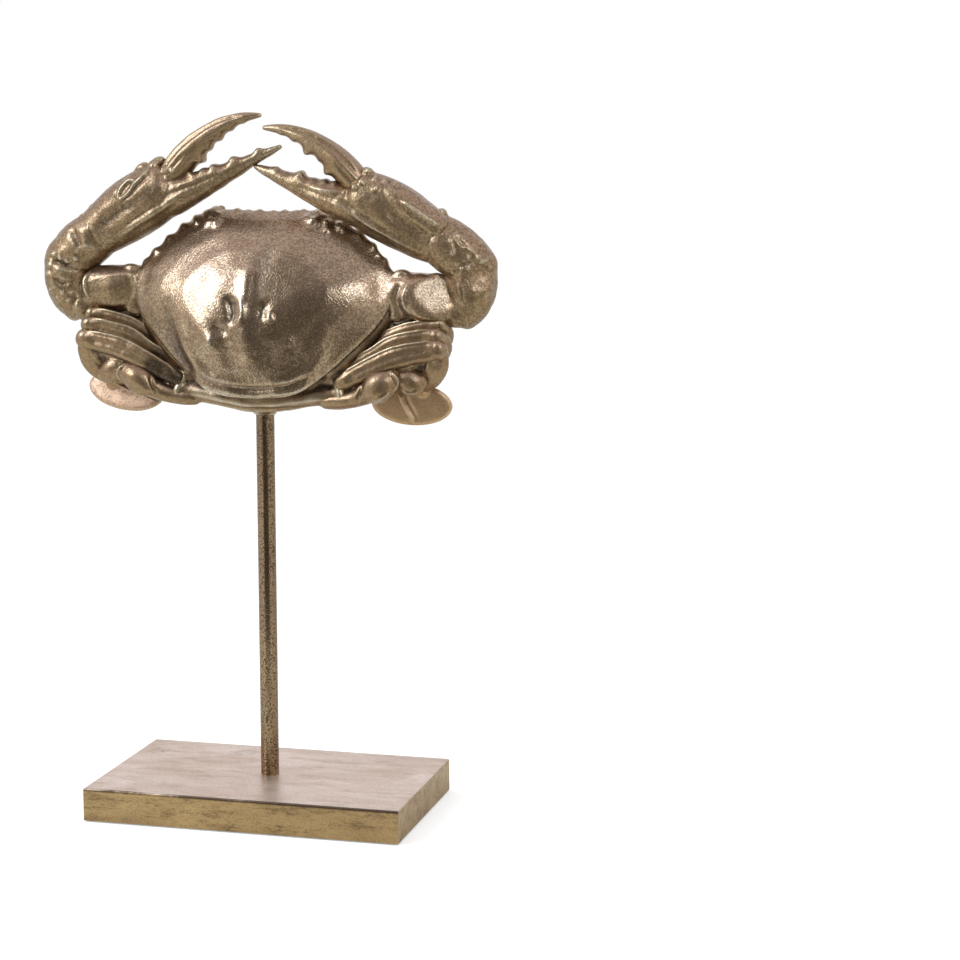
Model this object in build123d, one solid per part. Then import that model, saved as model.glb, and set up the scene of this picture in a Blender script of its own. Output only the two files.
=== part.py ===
"""Crab figurine: a cast crab, claws raised, that turns on a round rod above a rectangular base.

Millimetres, +Z up. The origin is the middle of the underside, and the crab's back faces -Y.
The crab's own points are measured from the top of the shown rod: x to the right, y to the back,
z up. The shell and body lean back, so their outlines are drawn in a leaning frame.
"""
from build123d import *

import math
import os

# Base, felt and rod
BASE_WIDTH = 250.0
BASE_DEPTH = 150.0
BASE_THICK = 25.0
BASE_EASE = 1.2
FELT_THICK = 1.0
FELT_INSET = 3.0
ROD_DIA = 14.0
ROD_WALL = 1.5
ROD_SHOWN = 283.0
ROD_SEAT = 8.0
ROD_CUP = 3.0

# Screw that holds the rod, and the plugs in the rod's ends
SCREW_DIA = 8.0
SCREW_HEAD_DIA = 13.0
SCREW_HEAD_HIGH = 5.0
SCREW_REACH = 16.0
SCREW_GAP = 0.3
KEY_ACROSS = 5.0
KEY_DEEP = 3.0
WASHER_DIA = 20.0
WASHER_THICK = 1.6
RECESS_DIA = 24.0
RECESS_DEEP = 9.0
PLUG_LONG = 20.0
STUD_DIA = 8.0
STUD_LONG = 30.0
BUSH_WALL = 2.0
BUSH_SPARE = 2.0
BOSS_WALL = 4.0
BOSS_DROP = 2.0
BOSS_CAP = 6.0
RUN_GAP = 0.05
CUP_GAP = 0.08

# Shell and body, in the leaning frame: u across, v along the back, depth behind the rod's line
LEAN = 18.0
SHELL_DEPTH = -28.0
SHELL_RISE = 27.0
SHELL_WALL = 4.0
SHELL_MID = 72.0
RIM_THICK = 4.0
FRONT_HIGH = 151.0
ORBIT = (40.0, 152.5)
SHOULDER = (84.0, 127.0)
TIP = (106.0, 100.0)
FLANK = (84.0, 52.0)
TAIL_CORNER = (44.0, 16.0)
TAIL_LOW = 5.0
DOME_ANGLES = (0.0, 12.0, 26.0, 42.0, 58.0, 72.0, 84.0)
SIDE_TEETH = 9
FRONT_TEETH = 6
TOOTH_REACH = 3.5
EYE_DIA = 11.0
EYE_OUT = 1.0
EYE_AHEAD = 1.5
# Body sections: depth, share of the outline across and along, and the lowest point's v
BODY = (
    (SHELL_DEPTH, 0.965, 0.965, 5.0),
    (-16.0, 0.85, 0.80, 1.0),
    (-4.0, 0.80, 0.62, 0.0),
    (6.0, 0.60, 0.42, 6.0),
)
FLAP_LOW = 14.0
FLAP_HIGH = 58.0
FLAP_WIDE = 40.0
FLAP_TIP = 12.0
FLAP_THICK = 4.0

# Limbs of the right side: x, y, z, width in the crab's front view, thickness front to back
ARM = (
    (72, 12, 93, 24, 24),
    (96, 10, 95, 27, 26),
    (112, 7, 94, 29, 28),
    (132, 7, 95, 28, 28),
    (152, 8, 93, 26, 26),
)
ELBOW = (
    (155, 8, 74, 18, 20),
    (159, 8, 82, 30, 30),
    (161, 8, 98, 40, 38),
    (162, 8, 114, 37, 38),
    (158, 8, 126, 28, 32),
)
WRIST = (
    (166, 8, 110, 36, 36),
    (152, 7, 123, 41, 38),
    (140, 6, 131, 40, 37),
    (133, 6, 136, 37, 34),
)
PALM = (
    (145, 5, 129, 34, 30),
    (130, 5, 136, 40, 32),
    (114, 5, 147, 47, 35),
    (94, 4, 158, 49, 36),
    (75, 4, 167, 44, 33),
)
FIXED_FINGER = (
    (82, 4, 156, 30, 30),
    (62, 4, 163, 28, 28),
    (46, 4, 169, 21, 22),
    (26, 5, 177, 15, 16),
    (6, 6, 186, 9.5, 11),
    (-11.5, 6, 193, 2, 3),
)
FINGER = (
    (78, 5, 174, 20, 22),
    (68, 5, 185, 23, 24),
    (56, 6, 198, 18, 20),
    (40, 6, 209.5, 14, 16),
    (21, 6, 218, 8.5, 11),
    (2, 6, 219, 2, 3),
)
FINGER_TEETH = 5
FINGER_TOOTH = 3.6
CLAW_PIVOT = (160.0, 8.0, 100.0)
CLAW_RAISE = {"left": 2.6, "right": -2.6}
FIXED_REACH = {"left": 7.0, "right": -5.0}
FRONT_LEG = (
    (66, 4, 40, 13, 12),
    (82, 2, 48, 14, 12),
    (96, 0, 58, 14, 12),
    (116, -1, 65, 14, 12),
    (138, -1, 69, 12, 12),
)
MIDDLE_LEG = (
    (66, -6, 34, 13, 11),
    (84, -8, 42, 14, 11),
    (98, -9, 52, 14, 11),
    (114, -10, 59, 14, 11),
    (137, -10, 63, 12, 11),
)
REAR_LEG = (
    (64, -14, 26, 13, 11),
    (84, -16, 37, 14, 12),
    (100, -16, 45, 15, 12),
    (118, -15, 51, 16, 12),
    (139, -14, 54, 14, 12),
)
FRONT_SHIN = (
    (140, 3, 69, 11, 11),
    (143, 12, 60, 12, 10),
    (128, 22, 46, 10, 9),
    (100, 26, 36, 6, 6),
    (84, 27, 34, 2, 3),
)
MIDDLE_SHIN = (
    (140, -4, 62, 11, 11),
    (143, 5, 53, 12, 10),
    (132, 14, 39, 10, 9),
    (106, 19, 27, 6, 6),
    (90, 20, 25, 2, 3),
)
REAR_SHIN = (
    (141, -10, 54, 12, 11),
    (142, -4, 43, 12, 10),
    (133, 2, 31, 11, 9),
    (112, 12, 20, 6, 6),
    (94, 13, 17, 2, 3),
)
SWIM_THIGH = (
    (52, -12, 16, 16, 14),
    (68, -14, 18, 15, 14),
    (78, -15, 20, 14, 13),
    (94, -16, 26, 20, 17),
    (108, -15, 32, 16, 14),
)
SWIM_WRIST = (
    (108, -13, 31, 12, 12),
    (118, -12, 30, 17, 15),
    (127, -9, 28, 14, 13),
)
PADDLE_NECK = (
    (122, -8, 29, 10, 9),
    (125, 0, 24, 12, 9),
    (122, 4, 16, 14, 5),
)
PADDLE_MID = (114.0, 4.0, 10.5)
PADDLE_LONG = 65.0
PADDLE_WIDE = 33.0
PADDLE_THICK = 6.0
PADDLE_ROUND = 2.0
PADDLE_TURN = {"left": 8.0, "right": 2.0}
KNOB_SHARE = 0.92

# Heights and fits worked out from the sizes above
BASE_LOW = FELT_THICK
BASE_TOP = BASE_LOW + BASE_THICK
ROD_LOW = BASE_TOP - ROD_SEAT
CRAB_Z = BASE_TOP + ROD_SHOWN
ROD_TOP = CRAB_Z + ROD_CUP
ROD_BORE = ROD_DIA - 2 * ROD_WALL
WASHER_LOW = BASE_LOW + RECESS_DEEP - WASHER_THICK
BUSH_DIA = STUD_DIA + 2 * RUN_GAP + 2 * BUSH_WALL
BUSH_LONG = STUD_LONG + BUSH_SPARE
CUP_DIA = ROD_DIA + 2 * CUP_GAP
BOSS_DIA = CUP_DIA + 2 * BOSS_WALL


STANDING = (Align.CENTER, Align.CENTER, Align.MIN)


def post(diameter, low, high):
    """Upright round bar on the rod's line."""
    return Pos(0, 0, low) * Cylinder(diameter / 2, high - low, align=STANDING)


def slab(width, depth, low, high):
    """Flat board centred on the rod's line."""
    return Pos(0, 0, low) * Box(width, depth, high - low, align=STANDING)


def largest(shape):
    """The main solid of a result, without loose scraps."""
    return max(shape.solids(), key=lambda solid: solid.volume)


def cut(shape, *neighbours):
    """Shape less its neighbours, so that it seats on them face to face."""
    for neighbour in neighbours:
        shape = largest(shape - neighbour)
    return shape


def join(first, *others):
    """One solid from shapes that run into each other."""
    for other in others:
        first = largest(first + other)
    return first


def base_block():
    """Board with eased edges, a rod socket on top, a screw hole and a recess for its head below."""
    board = slab(BASE_WIDTH, BASE_DEPTH, BASE_LOW, BASE_TOP)
    top_edges = board.faces().sort_by(Axis.Z)[-1].edges()
    board = fillet(board.edges().filter_by(Axis.Z) + top_edges, BASE_EASE)
    board -= post(ROD_DIA, ROD_LOW, BASE_TOP)
    board -= post(SCREW_DIA + 2 * SCREW_GAP, BASE_LOW, ROD_LOW)
    board -= post(RECESS_DIA, BASE_LOW, BASE_LOW + RECESS_DEEP)
    return board


def felt_sheet():
    return slab(BASE_WIDTH - 2 * FELT_INSET, BASE_DEPTH - 2 * FELT_INSET, 0, FELT_THICK)


def base_screw():
    """Cap screw, head down, with a hexagon socket."""
    head_low = WASHER_LOW - SCREW_HEAD_HIGH
    screw = post(SCREW_HEAD_DIA, head_low, WASHER_LOW) + post(SCREW_DIA, WASHER_LOW, ROD_LOW + SCREW_REACH)
    key = extrude(RegularPolygon(KEY_ACROSS / 2, 6, major_radius=False), KEY_DEEP)
    return screw - Pos(0, 0, head_low) * key


def base_washer():
    washer = post(WASHER_DIA, WASHER_LOW, WASHER_LOW + WASHER_THICK)
    return washer - post(SCREW_DIA + 2 * SCREW_GAP, WASHER_LOW, WASHER_LOW + WASHER_THICK)


def support_rod():
    return post(ROD_DIA, ROD_LOW, ROD_TOP) - post(ROD_BORE, ROD_LOW, ROD_TOP)


def rod_foot_nut():
    return post(ROD_BORE, ROD_LOW, ROD_LOW + PLUG_LONG) - post(SCREW_DIA, ROD_LOW, ROD_LOW + PLUG_LONG)


def rod_head_spigot():
    return post(ROD_BORE, ROD_TOP - PLUG_LONG, ROD_TOP) + post(STUD_DIA, ROD_TOP, ROD_TOP + STUD_LONG)


def crab_bush():
    high = ROD_TOP + BUSH_LONG
    return post(BUSH_DIA, ROD_TOP, high) - post(STUD_DIA + 2 * RUN_GAP, ROD_TOP, high)


def facing(depth):
    """Plane of a shell or body section: x across, y along the back."""
    return Plane(origin=(0, depth, 0), x_dir=(1, 0, 0), z_dir=(0, -1, 0))


def shell_edges(across=1.0, along=1.0, low=TAIL_LOW):
    """Outline of the shell, clockwise from the left tip, shrunk by its shares and set on its lowest point."""

    def point(u, v):
        return (u * across, low + (v - TAIL_LOW) * along)

    def left(spot):
        return point(-spot[0], spot[1])

    def right(spot):
        return point(*spot)

    return [
        ThreePointArc(left(TIP), left(SHOULDER), left(ORBIT)),
        ThreePointArc(left(ORBIT), point(0, FRONT_HIGH), right(ORBIT)),
        ThreePointArc(right(ORBIT), right(SHOULDER), right(TIP)),
        ThreePointArc(right(TIP), right(FLANK), right(TAIL_CORNER)),
        ThreePointArc(right(TAIL_CORNER), point(0, TAIL_LOW), left(TAIL_CORNER)),
        ThreePointArc(left(TAIL_CORNER), left(FLANK), left(TIP)),
    ]


def section(depth, across=1.0, along=1.0, low=TAIL_LOW):
    return facing(depth) * make_face(shell_edges(across, along, low))


def dome(rise, share):
    """Dome over the shell's outline: sections that shrink towards the crown as a quarter ellipse does."""
    sections = []
    for angle in DOME_ANGLES:
        shrink = share * math.cos(math.radians(angle))
        low = SHELL_MID - (SHELL_MID - TAIL_LOW) * shrink
        depth = SHELL_DEPTH - rise * math.sin(math.radians(angle))
        sections.append(section(depth, shrink, shrink, low))
    return loft(sections)


def toothed(edge, count):
    """Points of a toothed edge: each tooth leans towards the end of the edge."""
    points = []
    for tooth in range(count):
        points.append(edge @ (tooth / count))
        peak = (tooth + 0.6) / count
        run = edge % peak
        points.append(edge @ peak + Vector(-run.Y, run.X) * TOOTH_REACH)
    return points


def rim():
    """Thin plate along the shell's edge, with teeth on its front and shoulders."""
    left_side, front, right_side, right_flank, tail, left_flank = shell_edges()
    points = toothed(left_side, SIDE_TEETH) + toothed(front, FRONT_TEETH) + toothed(right_side, SIDE_TEETH)
    points.append(right_side @ 1)
    plate = make_face([Polyline(*points), right_flank, tail, left_flank])
    return extrude(facing(SHELL_DEPTH) * plate, RIM_THICK)


def lean(shape):
    """From the leaning frame to the crab's frame."""
    return Rot(-LEAN, 0, 0) * shape


def carapace():
    hollow = dome(SHELL_RISE - SHELL_WALL, 1 - SHELL_WALL / (SHELL_MID - TAIL_LOW))
    return lean(cut(join(dome(SHELL_RISE, 1.0), rim()), hollow))


def boss(diameter, low, high):
    """Round bar on the rod's line, in the crab's frame."""
    return Pos(0, 0, -CRAB_Z) * post(diameter, low, high)


def thorax():
    """Body with a boss that holds the bush and takes the rod's end."""
    body = lean(loft([section(*station) for station in BODY]))
    body = join(body, boss(BOSS_DIA, CRAB_Z - BOSS_DROP, ROD_TOP + BUSH_LONG + BOSS_CAP))
    body = cut(body, boss(CUP_DIA, CRAB_Z - BOSS_DROP, ROD_TOP))
    return cut(body, boss(BUSH_DIA, ROD_TOP, ROD_TOP + BUSH_LONG))


def abdomen_flap(body):
    """Tapered plate folded on the flat belly."""
    belly = BODY[-1][0]
    outline = Polyline(
        (-FLAP_WIDE / 2, FLAP_LOW),
        (FLAP_WIDE / 2, FLAP_LOW),
        (FLAP_TIP / 2, FLAP_HIGH),
        (-FLAP_TIP / 2, FLAP_HIGH),
        close=True,
    )
    plate = extrude(facing(belly) * make_face(outline), -FLAP_THICK)
    return cut(lean(plate), body)


def eye(side, body, shell):
    """Bead in the orbit, seated against the shell's rim."""
    bead = Pos(side * ORBIT[0], SHELL_DEPTH - EYE_AHEAD, ORBIT[1] + EYE_OUT) * Sphere(EYE_DIA / 2)
    return cut(lean(bead), body, shell)


def oval(place, along, width, thick):
    """Elliptical face across a limb, of four arcs that start on its upper or outer edge."""
    across = along.cross(Vector(0, 1, 0))
    quarters = (0, 90, 180, 270)
    arcs = [EllipticalCenterArc((0, 0), width / 2, thick / 2, turn, arc_size=90) for turn in quarters]
    return Plane(origin=place, x_dir=across, z_dir=along) * make_face(arcs)


def directions(stations):
    """Way along a limb at each station, from its neighbours."""
    places = [Vector(*station[:3]) for station in stations]
    last = len(places) - 1
    return [(places[min(i + 1, last)] - places[max(i - 1, 0)]).normalized() for i in range(last + 1)]


def limb(stations, knob=False):
    """Limb through oval sections with flat ends, the last one with a round knob where asked."""
    ways = directions(stations)
    shape = loft([oval(Vector(*s[:3]), way, s[3], s[4]) for s, way in zip(stations, ways)])
    if not knob:
        return shape
    x, y, z, width, thick = stations[-1]
    return join(shape, Pos(x, y, z) * Sphere(KNOB_SHARE * min(width, thick) / 2))


def biting_teeth(stations, first, side):
    """Blunt teeth on one edge of a finger, smaller towards its tip."""
    ways = directions(stations)
    spread = len(stations) - 1 - first
    teeth = []
    for tooth in range(FINGER_TEETH):
        share = first + spread * (tooth + 0.2) / FINGER_TEETH
        i = int(share)
        part = share - i
        near = Vector(*stations[i][:3])
        far = Vector(*stations[i + 1][:3])
        width = stations[i][3] * (1 - part) + stations[i + 1][3] * part
        edge = ways[i].cross(Vector(0, 1, 0)).normalized() * side * width / 2
        radius = FINGER_TOOTH * (1 - 0.5 * tooth / FINGER_TEETH)
        place = near + (far - near) * part + edge
        teeth.append(Pos(place.X, place.Y, place.Z) * Sphere(radius))
    return teeth


def raised(shape, side):
    """Claw turned about its elbow in the crab's front view."""
    x, y, z = CLAW_PIVOT
    return Pos(x, y, z) * Rot(0, CLAW_RAISE[side], 0) * Pos(-x, -y, -z) * shape


def fixed_finger(side):
    """Stations of the fixed finger, with the tip moved along to its side's reach."""
    *near, (x, y, z, width, thick) = FIXED_FINGER
    tip = Vector(x, y, z) + directions(FIXED_FINGER)[-1] * FIXED_REACH[side]
    return (*near, (tip.X, tip.Y, tip.Z, width, thick))


def claw(side, wrist, arm, shell):
    """Palm with its fixed finger, and the moving finger seated in it."""
    fixed = fixed_finger(side)
    palm = join(limb(PALM), limb(fixed), *biting_teeth(fixed, 2, -1))
    palm = cut(raised(palm, side), wrist, arm, shell)
    finger = join(limb(FINGER), *biting_teeth(FINGER, 1, 1))
    finger = cut(raised(finger, side), palm)
    return {"claw_palm": palm, "claw_finger": finger}


def paddle(side):
    """Flat oval blade with rounded edges, and the neck that joins it to the wrist."""
    x, y, z = PADDLE_MID
    outline = facing(PADDLE_THICK / 2) * Ellipse(PADDLE_LONG / 2, PADDLE_WIDE / 2)
    blade = extrude(outline, PADDLE_THICK)
    blade = fillet(blade.edges().filter_by(GeomType.ELLIPSE), PADDLE_ROUND)
    return join(Pos(x, y, z) * Rot(0, -PADDLE_TURN[side], 0) * blade, limb(PADDLE_NECK))


def limbs(body, shell):
    """Limbs that are alike on both sides, each seated on the ones before it."""
    arm = cut(limb(ARM), body, shell)
    wrist = cut(join(limb(ELBOW), limb(WRIST)), arm)
    made = {"claw_arm": arm, "claw_wrist": wrist}
    later = {
        "front_leg": limb(FRONT_LEG, knob=True),
        "middle_leg": limb(MIDDLE_LEG, knob=True),
        "rear_leg": limb(REAR_LEG, knob=True),
        "front_shin": limb(FRONT_SHIN),
        "middle_shin": limb(MIDDLE_SHIN),
        "rear_shin": limb(REAR_SHIN),
        "swim_thigh": limb(SWIM_THIGH, knob=True),
        "swim_wrist": limb(SWIM_WRIST, knob=True),
    }
    for name, shape in later.items():
        made[name] = cut(shape, body, shell, *made.values())
    return made


def crab_parts():
    body = thorax()
    shell = carapace()
    made = {"thorax": body, "carapace": shell, "abdomen_flap": abdomen_flap(body)}
    made["right_eye"] = eye(1, body, shell)
    made["left_eye"] = eye(-1, body, shell)
    alike = limbs(body, shell)
    for side in ("right", "left"):
        own = dict(alike)
        own.update(claw(side, alike["claw_wrist"], alike["claw_arm"], shell))
        own["swim_paddle"] = cut(paddle(side), body, *alike.values())
        for name, shape in own.items():
            made[f"{side}_{name}"] = shape if side == "right" else mirror(shape, about=Plane.YZ)
    return {name: Pos(0, 0, CRAB_Z) * shape for name, shape in made.items()}


def main():
    pieces = {
        "base_block": base_block(),
        "felt_sheet": felt_sheet(),
        "base_screw": base_screw(),
        "base_washer": base_washer(),
        "support_rod": support_rod(),
        "rod_foot_nut": rod_foot_nut(),
        "rod_head_spigot": rod_head_spigot(),
        "crab_bush": crab_bush(),
    }
    pieces.update(crab_parts())
    os.makedirs("parts", exist_ok=True)
    for name, shape in pieces.items():
        export_step(shape, f"parts/{name}.step")


main()
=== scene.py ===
"""Looks of the antique gold crab on its rod and base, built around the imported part.

The crab's castings are modelled as clay in millimetres, with x across, y away from the viewer and z up,
from the point where the rod meets the body. Each one is rolled and pressed from bmesh shapes,
set into one skin, worked on its surface and then cast at full scale in metres.
"""

import math
import random

import bmesh
import bpy
import numpy as np
from mathutils import Matrix, Vector, noise


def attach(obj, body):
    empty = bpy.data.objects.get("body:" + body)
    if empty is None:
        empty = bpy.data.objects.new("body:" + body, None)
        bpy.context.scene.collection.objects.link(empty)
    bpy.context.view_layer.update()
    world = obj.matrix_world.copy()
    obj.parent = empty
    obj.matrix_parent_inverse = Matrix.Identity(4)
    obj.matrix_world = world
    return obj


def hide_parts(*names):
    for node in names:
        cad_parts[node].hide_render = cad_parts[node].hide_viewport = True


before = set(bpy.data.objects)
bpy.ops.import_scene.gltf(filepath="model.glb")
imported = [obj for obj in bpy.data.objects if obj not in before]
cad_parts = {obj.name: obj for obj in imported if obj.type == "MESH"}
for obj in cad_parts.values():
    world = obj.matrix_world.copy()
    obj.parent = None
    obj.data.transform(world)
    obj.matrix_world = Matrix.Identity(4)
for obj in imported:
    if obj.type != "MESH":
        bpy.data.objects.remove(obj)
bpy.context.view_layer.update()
chance = random.Random(7)

MM = 0.001
BODY_HIGH = 309.0
LEAN = math.radians(18)
SHELL_MID = 72.0
RIGHT = 1
LEFT = -1
SIDES = ((RIGHT, "right"), (LEFT, "left"))
FRONT = -1
BACK = 1

RUB = 0.6
SOFTNESS = 2.2
FACET_SOFTNESS = 0.7
PRESS_REACH = 1.5
PRESS_TURN = 2.5
PATH_END = 0.15
BALL_SWELL = 1.04
LIMB_SIDES = 24
LIMB_END = ((0.62, 0.45), (0.4, 0.78), (0.0, 1.0))
HOLLOW_ROUNDS = (4, 12, 24)

# Limb stations on the right side: x, y, z, width in the front view, thickness.
ARM = (
    (76, 12, 92, 26, 24),
    (94, 10, 93, 33, 28),
    (112, 7, 92.5, 35, 31),
    (132, 7, 92.5, 34, 31),
    (151, 8, 91, 31, 29),
)
ELBOW = (
    (155, 8, 74, 20, 22),
    (159, 8, 82, 32, 31),
    (161, 8, 98, 40, 38),
    (162, 8, 114, 37, 38),
    (158, 8, 126, 28, 32),
)
WRIST = ((166, 8, 110, 36, 36), (152, 7, 123, 41, 38), (140, 6, 131, 40, 37), (133, 6, 136, 37, 34))
PALM = (
    (145, 5, 129, 34, 30),
    (130, 5, 136, 40, 32),
    (114, 5, 147, 47, 35),
    (94, 4, 158, 49, 36),
    (77, 4, 166, 44, 33),
)
PALM_BACK = ((98, 2, 166, 26, 27), (112, 0, 158, 26, 27), (126, -1.5, 149, 24, 26), (138, -2, 142, 22, 24))
FIXED_FINGER = (
    (88, 4, 153, 30, 30),
    (62, 4, 163, 28, 28),
    (46, 4, 169, 21, 22),
    (26, 5, 177, 15, 16),
    (6, 6, 186, 9.5, 11),
    (-10, 6, 192.5, 4, 5),
)
FINGER = (
    (80, 5, 172, 20, 21),
    (68, 5, 185, 24, 24),
    (56, 6, 198, 19.5, 20),
    (40, 6, 209.5, 15, 16),
    (21, 6, 218, 9, 11),
    (3, 6, 219, 4, 5),
)
FRONT_LEG = (
    (66, 4, 40, 13, 12),
    (82, 2, 48, 14, 12),
    (96, 0, 58, 14, 12),
    (116, -1, 65, 14, 12),
    (138, -1, 69, 12, 12),
)
MIDDLE_LEG = (
    (66, -6, 34, 14, 11),
    (84, -8, 42, 15, 11),
    (98, -9, 51.5, 16, 11),
    (114, -10, 58.5, 16, 11),
    (137, -10, 62, 14, 11),
)
REAR_LEG = (
    (64, -14, 26, 13, 11),
    (84, -16, 36.5, 15, 12),
    (100, -16, 44, 17, 12),
    (118, -15, 50, 18, 12),
    (139, -14, 53, 16, 12),
)
FRONT_SHIN = (
    (140, 3, 69, 11, 11),
    (143, 12, 60, 12, 10),
    (128, 22, 46, 10, 9),
    (100, 26, 36, 6, 6),
    (84, 27, 34, 2, 3),
)
MIDDLE_SHIN = (
    (140, -4, 62, 11, 11),
    (143, 5, 53, 12, 10),
    (132, 14, 39, 10, 9),
    (106, 19, 27, 6, 6),
    (90, 20, 25, 2, 3),
)
REAR_SHIN = (
    (140, -11, 52, 16, 12),
    (137, -9, 42, 24, 12),
    (130, -6, 32, 24, 11),
    (118, 2, 24, 15, 8),
    (98, 10, 18, 3, 3),
)
SWIM_THIGH = (
    (52, -11, 12, 13, 13),
    (67, -12, 12.5, 13, 13),
    (80, -14, 16, 14, 13),
    (94, -16, 25, 22, 18),
    (108, -15, 32, 17, 15),
)
SWIM_WRIST = ((108, -13, 31, 12, 12), (118, -12, 30, 17, 15), (127, -9, 28, 14, 13))
PADDLE_NECK = ((122, -8, 29, 10, 9), (125, 0, 24, 12, 9), (122, 4, 16, 14, 5))
FLANK = (
    (100, -16, 84, 16, 24),
    (92, -15, 66, 18, 28),
    (80, -15, 52, 18, 28),
    (66, -15, 38, 18, 26),
    (54, -16, 29, 15, 20),
)
REAR_BAND = ((-72, -8, 18, 15, 15), (-48, -9, 16.5, 15, 18), (-24, -9, 11.5, 15, 19), (0, -9, 8, 15, 19))

# Walking legs: name, thigh, shin, ridges of the thigh by share across, width and height, lift of the knee.
LEGS = (
    ("front", FRONT_LEG, FRONT_SHIN, ((0.05, 5.0, -1.2), (0.86, 1.2, 1.2)), {RIGHT: 1.5, LEFT: 4.5}),
    ("middle", MIDDLE_LEG, MIDDLE_SHIN, ((0.05, 5.5, -1.5), (0.86, 1.2, 1.3)), {RIGHT: 0.5, LEFT: 3.5}),
    ("rear", REAR_LEG, REAR_SHIN, ((0.1, 6.0, -1.5), (0.86, 1.2, 1.3)), {RIGHT: 0.0, LEFT: 2.0}),
)
KNEE_LIFT_FROM = 82
KNEE_LIFT_LONG = 40
# Painted shade on the walking legs, at their inner ends and under their edges, far stronger on the left.
LEG_PAINTED_SHADE = {RIGHT: 0.1, LEFT: 0.75}

# Paddle blade: middle, half lengths, then its turn, tilt and shift on each side.
PADDLE_MID = (114, 4, 10.5)
PADDLE_HALF = (32.5, 16.5, 3.0)
PADDLE_TURN = {RIGHT: -2.0, LEFT: 9.0}
PADDLE_TILT = {RIGHT: 0.0, LEFT: 19.0}
PADDLE_LIFT = {RIGHT: (1.0, 0, -0.5), LEFT: (0, 0, 4.0)}
PADDLE_RIB = {
    RIGHT: ((106, 19), (109, 11), (113, 4), (118, -4)),
    LEFT: ((-124, 20), (-112, 15), (-98, 10), (-88, 7)),
}

# The claws' pose and the teeth of their fingers: share along the finger, width and length.
CLAW_PIVOT = (160, 8, 100)
CLAW_RAISE = {RIGHT: -1.4, LEFT: 2.0}
FINGER_SHIFT = {RIGHT: (0, 0, 0), LEFT: (-4.5, 0, 0)}
FIXED_REACH = {RIGHT: -5, LEFT: 7}
FIXED_TEETH = {
    RIGHT: ((0.3, 4.8, 2.6), (0.39, 4.6, 2.8), (0.47, 4.0, 1.4), (0.58, 5.6, 4.4), (0.76, 4.6, 1.6)),
    LEFT: ((0.45, 4.4, 2.2), (0.53, 4.4, 2.8), (0.68, 5.4, 3.4), (0.86, 4.8, 2.8)),
}
FINGER_TEETH = {
    RIGHT: ((0.33, 5.4, 4.4), (0.45, 4.2, 1.2), (0.58, 5.6, 4.6), (0.72, 4.4, 1.6), (0.84, 3.4, 0.8)),
    LEFT: ((0.36, 5.4, 4.4), (0.48, 5.0, 2.2), (0.6, 5.0, 2.6), (0.72, 4.4, 1.6), (0.84, 3.4, 1.0)),
}

# Half of the back shell's outline in its own leaning frame, from the brow round to the tail.
SHELL_HALF = (
    (0, 150.5),
    (20, 151),
    (34, 152),
    (44, 150.5),
    (56, 143),
    (70, 135),
    (82, 127),
    (92, 116.5),
    (101, 106),
    (105.5, 97),
    (103, 80),
    (94, 63),
    (82, 50),
    (68, 36),
    (57, 26),
    (47, 17),
    (34, 9),
    (17, 6),
    (0, 5),
)

# Layers of the shell's dome and of the body under it: depth, shares of the outline, and the body's lift.
DOME = (
    (-27.0, 0.955),
    (-28.5, 1.0),
    (-31.5, 0.995),
    (-34.5, 0.95),
    (-38.5, 0.87),
    (-44.2, 0.73),
    (-49.8, 0.54),
    (-53.6, 0.33),
    (-55.4, 0.14),
)
BODY_LAYERS = ((-27.5, 0.965, 0.965, 5), (-16, 0.85, 0.80, 1), (-4, 0.80, 0.62, 0), (6, 0.60, 0.42, 6))
BODY_LOW = 5.0

# Balls that fill out the body beside the shell: place, half lengths and turn.
BODY_BALLS = (
    ((66, -9, 24), (10, 6.5, 12), 20),
    ((77, -5, 29), (12, 7.0, 10), 0),
    ((54, -6, 29), (13, 8.0, 11), 30),
    ((56, -10, 15), (18, 7.5, 9.5), 10),
    ((84, 10, 68), (15, 8.0, 12), 10),
    ((110, 10, 74), (18, 7.0, 8.0), -4),
    ((66, -4, 37), (13, 9.0, 11), -35),
    ((95, 14, 75), (20, 7.0, 9.0), 4),
    ((84, 6, 58), (16, 7.0, 10.0), -35),
)

# The collar on the rod: height and radius of its rings, then the room that is opened for the rod's end.
COLLAR = ((7, 9.6), (1, 9.2), (-0.8, 8.8), (-1.4, 8.4))
COLLAR_SIDES = 32
COLLAR_ROOM = 8.4
COLLAR_DEEP = 3.4
COLLAR_BORE = 7.9
ROD_ROOM = 7.35

# Scallops of the shell's edge on each side: place, pull and width. The fringe lies between the brows.
SCALLOPS = {
    RIGHT: (
        (70, 136, 0.8, 1.2, 24.0),
        (40, 151, 0.4, 2.2, 6.0),
        (50, 147, 1.0, 2.0, 6.0),
        (61, 141, 1.2, 2.0, 6.5),
        (73, 134, 1.2, 2.0, 6.5),
        (85, 125, 1.4, 1.8, 6.5),
        (95, 114, 1.6, 1.6, 6.0),
        (103, 102, 1.6, 1.0, 5.5),
    ),
    LEFT: (
        (-58, 143, -1.2, 2.2, 26.0),
        (-42.5, 151, -0.4, 3.4, 6.0),
        (-48.5, 148, -0.8, 2.2, 5.5),
        (-57, 143, -1.0, 2.0, 6.0),
        (-68.5, 137, -1.4, 2.2, 7.0),
        (-80.5, 129, -1.4, 2.0, 7.0),
        (-91, 118.5, -1.6, 1.6, 6.0),
        (-97.5, 110.5, -1.4, 1.2, 5.0),
        (-104, 101, -1.8, 1.2, 5.5),
    ),
}
FRINGE = ((-26, 1.6), (-17, 1.0), (-8, 1.9), (3, 1.2), (12, 1.8), (21, 1.0), (27, 1.6))
FRINGE_HIGH = 151
FRINGE_WIDE = 3.4

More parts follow.
